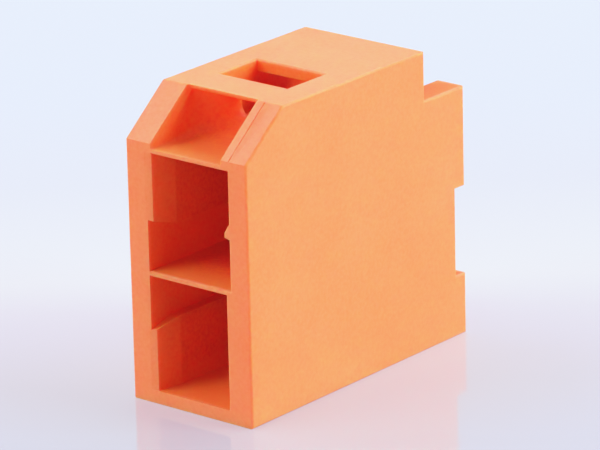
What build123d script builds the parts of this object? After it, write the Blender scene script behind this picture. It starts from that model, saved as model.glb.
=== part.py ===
from build123d import *
import os

# One-pole housing of a pluggable terminal block, moulded in one piece.
# It stands on its base: X runs across the pole, Y from the front to the rear,
# Z up. The origin is the centre of the base. All lengths are in millimetres.

# Outer form
width = 15.2
depth = 34.0
body_depth = 27.7
funnel_storey_height = 5.12
chamfer_run = 5.7
chamfer_foot_rise = 0.58
rear_land_start = 21.0
rear_land_fall = 0.08
side_round = 0.25
brow_round = 0.5

# Cheeks that reach past the body at the rear, with a latch notch in each
cheek_thickness = 3.25
cheek_drop = 5.18
notch_bottom = 6.4
notch_height = 9.3
notch_depth = 1.55

# Walls round the two front chambers
base_thickness = 1.35
left_wall = 2.55
lower_right_wall = 2.95
upper_right_wall = 2.4
middle_web = 0.55
upper_web = 0.46
lower_chamber_height = 11.8
upper_chamber_height = 12.1
chamber_depth = 20.6
mouth_round = 0.24

# Guide pads on the left wall of the chambers
pad_step = 0.58
pad_full_step = 1.15
pad_lead = 3.0
pad_flare = 0.8
lower_pad_height = 6.3
upper_pad_height = 6.9
pad_margin = 0.8
pad_bevel = 0.12

# Keying nub on the right wall, at the mouth of the upper chamber
nub_reach = 0.5
nub_length = 1.6
nub_foot = 18.95
nub_height = 1.45
nub_bottom_rise = 0.15
nub_top_fall = 0.88

# Wire funnel, from the window in the chamfer to the throat
window_left = 3.15
window_width = 8.9
window_reach = 0.2
window_corner = 0.2
throat_depth = 9.9
throat_width = 3.0
throat_height = 2.4
throat_sill = 1.35
throat_corner = 1.15

# The funnel's course, as shares of the way from the window to the throat. Each
# stage says how far the floor has run back and risen, how far the roof has run
# back and come down, and how far the sides have drawn in and the corners grown.
funnel_shares = (
    (0, 0, 0, 0, 0, 0),
    (0.07, 0.0, 0.035, 0.29, 0.01, 0.05),
    (0.37, 0.0, 0.18, 0.41, 0.07, 0.4),
    (0.58, 0.05, 0.35, 0.54, 0.19, 0.8),
    (0.69, 0.25, 0.49, 0.69, 0.41, 1.0),
    (0.79, 0.53, 0.65, 0.83, 0.66, 1.15),
    (0.89, 0.8, 0.81, 0.94, 0.86, 1.12),
    (1, 1, 1, 1, 1, 1),
)

# Witness line of the mould insert, beside the window
witness_setback = 0.9
witness_width = 0.1
witness_depth = 0.12

# Clamp room behind the throat, and the slot over it for the tool
top_wall = 1.2
passage_length = 0.5
clamp_room_width = 8.8
slot_length = 5.75
slot_width = 8.6
slot_round = 0.25

# Socket between the cheeks
partition = 2.0
socket_roof = 1.06

# How far a cutting shape runs past the face that it opens
overrun = 1.0

# The direction from the front of the housing to its rear
to_rear = (0, 1, 0)

# Planes and heights that follow from the sizes above
left = -width / 2
right = width / 2
front = -depth / 2
rear = depth / 2
body_rear = front + body_depth
lower_ceiling = base_thickness + lower_chamber_height
upper_floor = lower_ceiling + middle_web
upper_ceiling = upper_floor + upper_chamber_height
funnel_floor = upper_ceiling + upper_web
top_height = funnel_floor + funnel_storey_height
cheek_height = top_height - cheek_drop
chamfer_foot = funnel_floor + chamfer_foot_rise
chamfer_drop = top_height - chamfer_foot
window_centre = left + window_left + window_width / 2
clamp_room_front = front + throat_depth + passage_length


def side_prism(outline, x_low, x_high):
    """A prism across the pole, from an outline of (y, z) points."""
    face = Plane.YZ.offset(x_low) * make_face(Polyline(*outline, close=True))
    return extrude(face, x_high - x_low)


def block(x_low, x_high, y_low, y_high, z_low, z_high):
    """A plain block between six planes."""
    outline = [(y_low, z_low), (y_high, z_low), (y_high, z_high), (y_low, z_high)]
    return side_prism(outline, x_low, x_high)


def front_section(outline, y):
    """A flat face across the pole at depth y, from (x, z) points."""
    plane = Plane(origin=(0, y, 0), x_dir=(1, 0, 0), z_dir=(0, -1, 0))
    return plane * make_face(Polyline(*outline, close=True))


def outer_form():
    """The housing's outline from the side, cheeks and latch notches included."""
    notch_face = rear - notch_depth
    notch_top = notch_bottom + notch_height
    outline = [
        (front, 0),
        (rear, 0),
        (rear, notch_bottom),
        (notch_face, notch_bottom),
        (notch_face, notch_top),
        (rear, notch_top),
        (rear, cheek_height),
        (body_rear, cheek_height),
        (body_rear, top_height),
        (front + chamfer_run, top_height),
        (front, chamfer_foot),
    ]
    form = side_prism(outline, left, right)
    brow = form.edges().filter_by(Axis.X).group_by(Axis.Z)[-1].sort_by(Axis.Y)[:1]
    form = fillet(brow, brow_round)
    sides = form.faces().filter_by(Axis.X).sort_by(Axis.X)
    return fillet(sides[0].edges() + sides[-1].edges(), side_round)


def rear_land():
    """The sliver taken off the rear part of the top, which lies a little lower."""
    land_top = top_height - rear_land_fall
    return block(left, right, front + rear_land_start, body_rear, land_top, top_height + overrun)


def chamber(floor, ceiling, right_wall, pad_root, pad_edge):
    """A front chamber with a guide pad on its left wall.

    The pad grows from the floor or the ceiling, pad_root, to pad_edge at the
    mouth. Past the lead-in it stands further out and reaches further.
    """
    wall = left + left_wall
    far_wall = right - right_wall
    far_level = ceiling if pad_root == floor else floor
    growth = pad_flare if pad_edge > pad_root else -pad_flare

    def section(y, step, edge):
        return front_section(
            [
                (far_wall, pad_root),
                (far_wall, far_level),
                (wall, far_level),
                (wall, edge),
                (wall + step, edge),
                (wall + step, pad_root),
            ],
            y,
        )

    mouth = section(front, pad_step, pad_edge)
    inner = section(front + pad_lead, pad_full_step, pad_edge + growth)
    lead = loft([mouth, inner], ruled=True)
    run = extrude(inner, chamber_depth - pad_lead, dir=to_rear)
    return lead + run


def round_mouths(form):
    """Round the front edges of the webs, and the right-hand edge of each mouth."""
    front_edges = form.edges().group_by(Axis.Y)[0]
    level = front_edges.filter_by(Axis.X)
    level = level.filter_by_position(Axis.Z, base_thickness, upper_ceiling)
    upright = front_edges.filter_by(Axis.Z)
    upright = upright.filter_by_position(Axis.X, 0, right - upper_right_wall)
    return fillet(level + upright, mouth_round)


def pad_front_bevel(z_low, z_high):
    """The sloping strip that leads from the front face on to a pad."""
    edge = left + left_wall + pad_step
    slope = pad_bevel / pad_margin
    face = make_face(
        Polyline(
            (edge - pad_margin, front),
            (edge + overrun, front + pad_bevel + overrun * slope),
            (edge + overrun, front - overrun),
            (edge - pad_margin, front - overrun),
            close=True,
        )
    )
    return extrude(Pos(0, 0, z_low) * face, z_high - z_low)


def nub():
    """The keying nub, with a long slope above and a short one below."""
    seat = right - upper_right_wall
    tip = seat - nub_reach
    top = nub_foot + nub_height
    outline = [
        (seat + nub_reach, nub_foot),
        (seat, nub_foot),
        (tip, nub_foot + nub_bottom_rise),
        (tip, top - nub_top_fall),
        (seat, top),
        (seat + nub_reach, top),
    ]
    return extrude(front_section(outline, front), nub_length, dir=to_rear)


def toward(start, end, share):
    """The value that lies the given share of the way from start to end."""
    return start + (end - start) * share


def funnel_section(stage_shares):
    """The funnel's rounded section at one stage, tilted as its floor and roof points say."""
    floor_run, floor_rise, roof_run, roof_fall, narrowing, rounding = stage_shares
    slope = chamfer_drop / chamfer_run
    window_floor = front + (funnel_floor - chamfer_foot) / slope
    window_roof = front + chamfer_run + window_reach
    throat_floor = funnel_floor + throat_sill
    throat = front + throat_depth

    floor_y = toward(window_floor, throat, floor_run)
    floor_z = toward(funnel_floor, throat_floor, floor_rise)
    roof_y = toward(window_roof, throat, roof_run)
    roof_z = toward(top_height + window_reach * slope, throat_floor + throat_height, roof_fall)
    width_here = toward(window_width, throat_width, narrowing)
    corner = toward(window_corner, throat_corner, rounding)

    run = roof_y - floor_y
    rise = roof_z - floor_z
    middle = (window_centre, (floor_y + roof_y) / 2, (floor_z + roof_z) / 2)
    plane = Plane(origin=middle, x_dir=(1, 0, 0), z_dir=(0, -rise, run))
    return plane * RectangleRounded(width_here, (run**2 + rise**2) ** 0.5, corner)


def funnel():
    """The wire funnel, in one smooth run from the window to the throat."""
    stages = [funnel_section(stage_shares) for stage_shares in funnel_shares]
    way_in = extrude(stages[0], overrun)
    passage = extrude(stages[-1], passage_length + overrun, dir=to_rear)
    return way_in + loft(stages) + passage


def witness_line():
    """The fine groove that the edge of the mould's insert leaves along the chamfer."""
    low = left + window_left + window_width + witness_setback
    groove_front = front - overrun
    groove_rear = front + chamfer_run
    slope = chamfer_drop / chamfer_run
    outline = [
        (groove_front, chamfer_foot - overrun * slope - witness_depth),
        (groove_rear, top_height - witness_depth),
        (groove_rear, top_height + overrun),
        (groove_front, top_height + overrun),
    ]
    return side_prism(outline, low, low + witness_width)


def clamp_room():
    """The room behind the throat, open to the rear above the cheeks."""
    low = window_centre - clamp_room_width / 2
    high = window_centre + clamp_room_width / 2
    ceiling = top_height - top_wall
    return block(low, high, clamp_room_front, body_rear + overrun, funnel_floor, ceiling)


def tool_slot():
    """The slot through the top wall, over the clamp room."""
    low = window_centre - slot_width / 2
    high = window_centre + slot_width / 2
    slot_rear = clamp_room_front + slot_length
    return block(low, high, clamp_room_front, slot_rear, funnel_floor, top_height + overrun)


def round_slot(form):
    """Round the rim of the tool slot."""
    low = window_centre - slot_width / 2
    high = window_centre + slot_width / 2
    rim = form.edges().filter_by_position(Axis.Z, top_height - slot_round, top_height)
    rim = rim.filter_by_position(Axis.X, low, high)
    rim = rim.filter_by_position(Axis.Y, clamp_room_front, clamp_room_front + slot_length)
    return fillet(rim, slot_round)


def socket():
    """The mating socket, with the open gap between the cheeks behind it."""
    low = left + cheek_thickness
    high = right - cheek_thickness
    socket_front = front + chamber_depth + partition
    socket_head = funnel_floor - socket_roof
    recess = block(low, high, socket_front, body_rear + overrun, base_thickness, socket_head)
    gap = block(low, high, body_rear, rear + overrun, -overrun, top_height + overrun)
    return recess + gap


def housing():
    """The whole moulding."""
    lower_pad_edge = base_thickness + lower_pad_height
    upper_pad_edge = upper_ceiling - upper_pad_height
    form = outer_form()
    form -= chamber(base_thickness, lower_ceiling, lower_right_wall, base_thickness, lower_pad_edge)
    form -= chamber(upper_floor, upper_ceiling, upper_right_wall, upper_ceiling, upper_pad_edge)
    form = round_mouths(form)
    form -= pad_front_bevel(base_thickness, lower_pad_edge)
    form -= pad_front_bevel(upper_pad_edge, upper_ceiling)
    form += nub()
    form -= funnel()
    form -= witness_line() + rear_land()
    form -= clamp_room() + tool_slot()
    form = round_slot(form)
    form -= socket()
    return form


os.makedirs("parts", exist_ok=True)
export_step(housing(), "parts/housing.step")
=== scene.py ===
"""An orange one-pole terminal block housing, moulded in one piece, on a pale glossy sweep."""

import math

import bpy
from mathutils import Matrix, Vector


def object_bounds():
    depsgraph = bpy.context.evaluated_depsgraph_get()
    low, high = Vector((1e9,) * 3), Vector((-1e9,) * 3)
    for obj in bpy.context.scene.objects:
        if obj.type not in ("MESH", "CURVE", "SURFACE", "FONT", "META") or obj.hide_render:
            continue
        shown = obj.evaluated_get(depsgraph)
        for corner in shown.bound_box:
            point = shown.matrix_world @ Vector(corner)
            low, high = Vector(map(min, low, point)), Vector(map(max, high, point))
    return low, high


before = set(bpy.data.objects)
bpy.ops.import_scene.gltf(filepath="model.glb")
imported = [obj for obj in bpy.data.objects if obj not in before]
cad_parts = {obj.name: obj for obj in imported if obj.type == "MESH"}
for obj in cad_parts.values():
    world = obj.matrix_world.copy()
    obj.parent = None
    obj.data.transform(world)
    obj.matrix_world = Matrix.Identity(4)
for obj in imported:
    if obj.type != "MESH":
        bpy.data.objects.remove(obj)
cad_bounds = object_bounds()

MM = 0.001

# The camera looks down at the front right-hand corner from the distance of a long lens.
CAMERA_AZIMUTH = math.radians(39.68)
CAMERA_ELEVATION = math.radians(18.85)
CAMERA_ROLL = math.radians(-1.35)
CAMERA_DISTANCE = 499.65 * MM
CAMERA_AIM = Vector((0.1, 1.0, 19.5)) * MM
CAMERA_SIDEWAYS = -0.585 * MM
CAMERA_UPWARDS = -4.785 * MM
LENS = 302.8
SENSOR = 36.0

# The sweep under the housing, with painted light: it emits light of its own, changing from near to
# far
SWEEP_SIZE = 3.0
SWEEP_DROP = 0.02 * MM
SWEEP_TONE = (0.18, 0.18, 0.19, 1)
SWEEP_ROUGHNESS = 0.08
SWEEP_IOR = 1.5
SWEEP_SHINE = 0.68
SWEEP_NEAR = -70 * MM
SWEEP_FAR = 90 * MM
# Painted light: what the sweep emits, from near to far
SWEEP_PAINTED_GLOW = [
    (0.3, (0.36, 0.325, 0.4, 1)),
    (0.4, (0.42, 0.35, 0.415, 1)),
    (0.6, (0.61, 0.44, 0.5, 1)),
    (0.8, (0.5, 0.39, 0.51, 1)),
    (1.0, (0.48, 0.395, 0.58, 1)),
]

# The tent of light round the housing, darker at the opening towards the camera
TENT_LIGHT = 0.9
TENT_COLOUR = (0.95, 0.97, 1.0, 1)
OPENING_LIGHT = 0.15
OPENING_WAY = Vector((0.62, -0.75, 0.2)).normalized()
OPENING_RIM = 0.3
OPENING_CORE = 0.8

# Each softbox has its place, width and height in metres, its power in watts and its colour.
SOFTBOXES = {
    "rear_overhead": ((-0.1, 0.6, 0.8), 0.7, 0.5, 0.8, (1.0, 0.93, 1.0)),
    "rear_edge": ((0.33, 0.72, 0.6), 0.8, 0.6, 3.4, (1.0, 0.97, 1.0)),
    "right_rear": ((0.95, 0.45, 0.35), 0.6, 0.6, 17.8, (1.0, 0.99, 0.97)),
    "upper_left": ((-0.6, -0.14, 0.8), 0.35, 0.35, 2.0, (0.8, 0.8, 1.0)),
    "front_left": ((-0.62, -0.9, 0.62), 0.8, 0.5, 11.2, (1.0, 1.0, 1.0)),
    "front_low": ((0.25, -1.1, 0.22), 0.35, 0.3, 2.3, (1.0, 0.98, 0.95)),
}
SOFTBOX_AIM = Vector((0, 0, 15)) * MM

# These would burn out whatever mirrors them, so nothing does.
UNMIRRORED_SOFTBOXES = ("right_rear", "front_left", "front_low")

# What the film makes of bright tones: pairs of the light that falls and the tone that it leaves
FILM_LIMIT = 4.0
RED_TONES = (
    (0, 0), (0.25, 0.25), (0.5, 0.5), (0.7, 0.68), (0.9, 0.79),
    (1.1, 0.87), (1.5, 0.93), (2.0, 0.95), (4.0, 0.96),
)
GREEN_TONES = (
    (0, 0), (0.25, 0.25), (0.5, 0.5), (0.75, 0.75), (0.95, 0.92),
    (1.2, 0.97), (2.0, 0.99), (4.0, 1.0),
)
BLUE_TONES = (
    (0, 0.005), (0.05, 0.053), (0.25, 0.25), (0.5, 0.5), (0.75, 0.75),
    (0.95, 0.94), (1.1, 0.98), (2.0, 0.99), (4.0, 1.0),
)
FILM_TONES = (RED_TONES, GREEN_TONES, BLUE_TONES)

# The plastic's tones from dark to light: two for shade painted into the faces far inside, and two
# for the outer skin
PAINTED_SHADE_TONES = [(0.05, (0.66, 0.0, 0.012, 1)), (0.45, (0.88, 0.13, 0.024, 1))]
SKIN_TONES = [(0.65, (0.9, 0.188, 0.038, 1)), (0.85, (0.97, 0.247, 0.081, 1))]
CLOUD_SCALE = 180.0
CLOUD_SHARE = 0.3
SPECKLE_SCALE = 2600.0
SPECKLE_SHARE = 0.7
# How far painted shade darkens the faces just inside the skin, and those far inside
INSIDE_SHADE_SHARE = 0.15
DEEP_SHADE_SHARE = 0.85

# The plastic's finish, with the gloss of a coat on the outer skin only
PLASTIC_IOR = 1.5
PLASTIC_SHINE = 0.25
PLASTIC_ROUGHNESS = 0.45
SPECKLE_ROUGHNESS = 0.1
SKIN_ROUGHNESS = 0.48
GRAIN_HEIGHT = 0.02 * MM
GRAIN_STRENGTH = 0.6
GLOW_RADII = (2.4, 0.35, 0.1)
GLOW_SCALE = 1.0 * MM

# How far below the outer faces the skin ends, the cores' faces begin, and the painted shade is
# darkest
SKIN_DEPTH = 0.15 * MM
CORE_DEPTH = 0.5 * MM
DARKEST_SHADE_DEPTH = 6.5 * MM

# The chamfer's plane: its foot on the front face, and how far it runs back and rises from there
CHAMFER_FOOT = Vector((0, -17.0, 26.84)) * MM
CHAMFER_RUN = 5.7 * MM
CHAMFER_RISE = 4.54 * MM
CHAMFER_WAY = Vector((0, CHAMFER_RISE, -CHAMFER_RUN)).normalized()
CHAMFER_REACH = -CHAMFER_FOOT.dot(CHAMFER_WAY)

# Edges that the mould leaves not quite sharp
WELD_DISTANCE = 0.001 * MM
EDGE_SOFTNESS = 0.06 * MM
EDGE_STEPS = 2
EDGE_ANGLE = math.radians(25)


class Signal:
    """A shader socket that takes part in Python sums."""

    def __init__(self, shader, socket):
        self.shader = shader
        self.socket = socket

    def math(self, operation, first, second):
        return self.shader.node("ShaderNodeMath", {"operation": operation}, {0: first, 1: second})

    def __add__(self, other):
        return self.math("ADD", self, other)

    def __radd__(self, other):
        return self.math("ADD", other, self)

    def __sub__(self, other):
        return self.math("SUBTRACT", self, other)

    def __rsub__(self, other):
        return self.math("SUBTRACT", other, self)

    def __mul__(self, other):
        return self.math("MULTIPLY", self, other)

    def __rmul__(self, other):
        return self.math("MULTIPLY", other, self)

    def lesser(self, other):
        return self.math("MINIMUM", self, other)


class Shader:
    """The node tree of one material, or of the light all round."""

    def __init__(self, owner):
        owner.use_nodes = True
        self.tree = owner.node_tree
        self.tree.nodes.clear()

    def node(self, kind, settings, inputs, output=0):
        """Adds a node: its settings first, then the values or links of its sockets."""
        node = self.tree.nodes.new(kind)
        for name, value in settings.items():
            if name == "stops":
                self.set_stops(node.color_ramp, value)
            else:
                setattr(node, name, value)
        for name, value in inputs.items():
            if isinstance(value, Signal):
                self.tree.links.new(value.socket, node.inputs[name])
            else:
                node.inputs[name].default_value = value
        return Signal(self, node.outputs[output]) if node.outputs else None

    @staticmethod
    def set_stops(ramp, stops):
        while len(ramp.elements) < len(stops):
            ramp.elements.new(0.5)
        for element, (position, colour) in zip(ramp.elements, stops):
            element.position = position
            element.color = colour

    def along(self, place, way):
        """How far a place lies along a direction."""
        return self.node(
            "ShaderNodeVectorMath", {"operation": "DOT_PRODUCT"}, {0: place, 1: way}, "Value"
        )


def depth_below_skin(shader, place):
    """How far a place lies inside the housing's outer faces."""
    low, high = (Vector(corner) for corner in cad_bounds)
    depth = None
    for way, reach in (
        ((1, 0, 0), -low.x),
        ((-1, 0, 0), high.x),
        ((0, 1, 0), -low.y),
        ((0, -1, 0), high.y),
        ((0, 0, 1), -low.z),
        ((0, 0, -1), high.z),
        (CHAMFER_WAY, CHAMFER_REACH),
    ):
        gap = shader.along(place, way) + reach
        depth = gap if depth is None else depth.lesser(gap)
    return depth


def moulded_plastic():
    """Orange polyamide, finely speckled and glossier on its skin, with shade painted into its
    colour: the further inside a face lies, the darker it is.
    """
    material = bpy.data.materials.new("orange_moulding")
    shader = Shader(material)
    place = shader.node("ShaderNodeTexCoord", {}, {}, "Object")
    depth = depth_below_skin(shader, place)
    # Faces inside the skin lose the coat and take a little painted shade
    inside = shader.node(
        "ShaderNodeMapRange",
        {},
        {"Value": depth, "From Min": SKIN_DEPTH, "From Max": CORE_DEPTH},
    )
    # Painted shade: grows from the skin to its darkest depth
    deep_shade = shader.node(
        "ShaderNodeMapRange",
        {},
        {"Value": depth, "From Min": SKIN_DEPTH, "From Max": DARKEST_SHADE_DEPTH},
    )
    cloud = shader.node(
        "ShaderNodeTexNoise", {}, {"Vector": place, "Scale": CLOUD_SCALE, "Detail": 2.0}
    )
    speckle = shader.node(
        "ShaderNodeTexNoise", {}, {"Vector": place, "Scale": SPECKLE_SCALE, "Detail": 3.0}
    )
    tone = cloud * CLOUD_SHARE + speckle * SPECKLE_SHARE
    # Painted shade: the inner faces' tones slide towards the dark shade tones
    colour = shader.node(
        "ShaderNodeValToRGB",
        {"stops": PAINTED_SHADE_TONES + SKIN_TONES},
        {"Fac": (tone + 1.0 - inside * INSIDE_SHADE_SHARE - deep_shade * DEEP_SHADE_SHARE) * 0.5},
    )
    normal = shader.node(
        "ShaderNodeBump",
        {},
        {"Strength": GRAIN_STRENGTH, "Distance": GRAIN_HEIGHT, "Height": speckle},
    )
    surface = shader.node(
        "ShaderNodeBsdfPrincipled",
        {},
        {
            "Base Color": colour,
            "Roughness": speckle * SPECKLE_ROUGHNESS + PLASTIC_ROUGHNESS,
            "IOR": PLASTIC_IOR,
            "Specular IOR Level": PLASTIC_SHINE,
            "Coat Weight": 1.0 - inside,
            "Coat Roughness": SKIN_ROUGHNESS,
            "Subsurface Weight": 1.0,
            "Subsurface Radius": GLOW_RADII,
            "Subsurface Scale": GLOW_SCALE,
            "Normal": normal,
        },
    )
    shader.node("ShaderNodeOutputMaterial", {}, {"Surface": surface})
    return material


def sweep_paper():
    """The pale, slightly glossy sweep, with painted light: it emits light of its own, a little
    bluer away from the camera.
    """
    material = bpy.data.materials.new("sweep_paper")
    shader = Shader(material)
    place = shader.node("ShaderNodeTexCoord", {}, {}, "Object")
    away = (-math.sin(CAMERA_AZIMUTH), math.cos(CAMERA_AZIMUTH), 0)
    distance = shader.along(place, away)
    # Painted light: the sweep's own emission, graded from near to far
    painted_glow = shader.node(
        "ShaderNodeValToRGB",
        {"stops": SWEEP_PAINTED_GLOW},
        {"Fac": (distance - SWEEP_NEAR) * (1 / (SWEEP_FAR - SWEEP_NEAR))},
    )
    surface = shader.node(
        "ShaderNodeBsdfPrincipled",
        {},
        {
            "Base Color": SWEEP_TONE,
            "Roughness": SWEEP_ROUGHNESS,
            "IOR": SWEEP_IOR,
            "Specular IOR Level": SWEEP_SHINE,
            "Emission Color": painted_glow,
            "Emission Strength": 1.0,
        },
    )
    shader.node("ShaderNodeOutputMaterial", {}, {"Surface": surface})
    return material


def dress_housing():
    """Gives the moulding its plastic, and its sharp edges their small rounds."""
    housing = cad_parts["housing"]
    housing.data.materials.clear()
    housing.data.materials.append(moulded_plastic())
    weld = housing.modifiers.new("weld", "WELD")
    weld.merge_threshold = WELD_DISTANCE
    rounds = housing.modifiers.new("edge_rounds", "BEVEL")
    rounds.width = EDGE_SOFTNESS
    rounds.segments = EDGE_STEPS
    rounds.limit_method = "ANGLE"
    rounds.angle_limit = EDGE_ANGLE
    rounds.harden_normals = True


def camera_axes():
    """The camera's right, its up, and the direction from what it looks at back to it."""
    back = Vector((
        math.sin(CAMERA_AZIMUTH) * math.cos(CAMERA_ELEVATION),
        -math.cos(CAMERA_AZIMUTH) * math.cos(CAMERA_ELEVATION),
        math.sin(CAMERA_ELEVATION),
    ))
    level = Vector((math.cos(CAMERA_AZIMUTH), math.sin(CAMERA_AZIMUTH), 0))
    upright = back.cross(level)
    right = level * math.cos(CAMERA_ROLL) + upright * math.sin(CAMERA_ROLL)
    up = upright * math.cos(CAMERA_ROLL) - level * math.sin(CAMERA_ROLL)
    return right, up, back


def make_camera():
    right, up, back = camera_axes()
    lens = bpy.data.cameras.new("camera")
    lens.lens = LENS
    lens.sensor_width = SENSOR
    camera = bpy.data.objects.new("camera", lens)
    aim = CAMERA_AIM + right * CAMERA_SIDEWAYS + up * CAMERA_UPWARDS
    turn = Matrix((right, up, back)).transposed().to_4x4()
    camera.matrix_world = Matrix.Translation(aim + back * CAMERA_DISTANCE) @ turn
    bpy.context.scene.collection.objects.link(camera)
    bpy.context.scene.camera = camera


def make_sweep():
    bpy.ops.object.select_all(action="DESELECT")
    bpy.ops.mesh.primitive_plane_add(size=SWEEP_SIZE, location=(0, 0, -SWEEP_DROP))
    sweep = bpy.context.object
    sweep.name = "sweep"
    sweep.data.materials.append(sweep_paper())


def make_softbox(name, place, width, height, power, colour):
    light = bpy.data.lights.new(name, "AREA")
    light.shape = "RECTANGLE"
    light.size = width
    light.size_y = height
    light.energy = power
    light.color = colour
    holder = bpy.data.objects.new(name, light)
    holder.location = place
    holder.rotation_mode = "QUATERNION"
    holder.rotation_quaternion = (Vector(place) - SOFTBOX_AIM).to_track_quat("Z", "Y")
    holder.visible_glossy = name not in UNMIRRORED_SOFTBOXES
    bpy.context.scene.collection.objects.link(holder)


def make_tent():
    """Even light from all round, but for the dark opening that the camera looks through."""
    world = bpy.data.worlds.new("tent")
    shader = Shader(world)
    way = shader.node("ShaderNodeTexCoord", {}, {}, "Generated")
    brightness = shader.node(
        "ShaderNodeMapRange",
        {"interpolation_type": "SMOOTHSTEP"},
        {
            "Value": shader.along(way, OPENING_WAY),
            "From Min": OPENING_RIM,
            "From Max": OPENING_CORE,
            "To Min": TENT_LIGHT,
            "To Max": OPENING_LIGHT,
        },
    )
    background = shader.node(
        "ShaderNodeBackground", {}, {"Color": TENT_COLOUR, "Strength": brightness}
    )
    shader.node("ShaderNodeOutputWorld", {}, {"Surface": background})
    bpy.context.scene.world = world


def set_film():
    """The soft shoulder of a camera: bright tones level off below white, the red ones first."""
    view = bpy.context.scene.view_settings
    view.view_transform = "Standard"
    view.use_curve_mapping = True
    curves = view.curve_mapping
    curves.white_level = (FILM_LIMIT, FILM_LIMIT, FILM_LIMIT)
    for curve, tones in zip(curves.curves, FILM_TONES):
        curve.points[0].location = tones[0]
        curve.points[1].location = (1, tones[-1][1])
        for light, tone in tones[1:-1]:
            curve.points.new(light / FILM_LIMIT, tone)
    curves.update()


set_film()
dress_housing()
make_camera()
make_sweep()
for name, measures in SOFTBOXES.items():
    make_softbox(name, *measures)
make_tent()
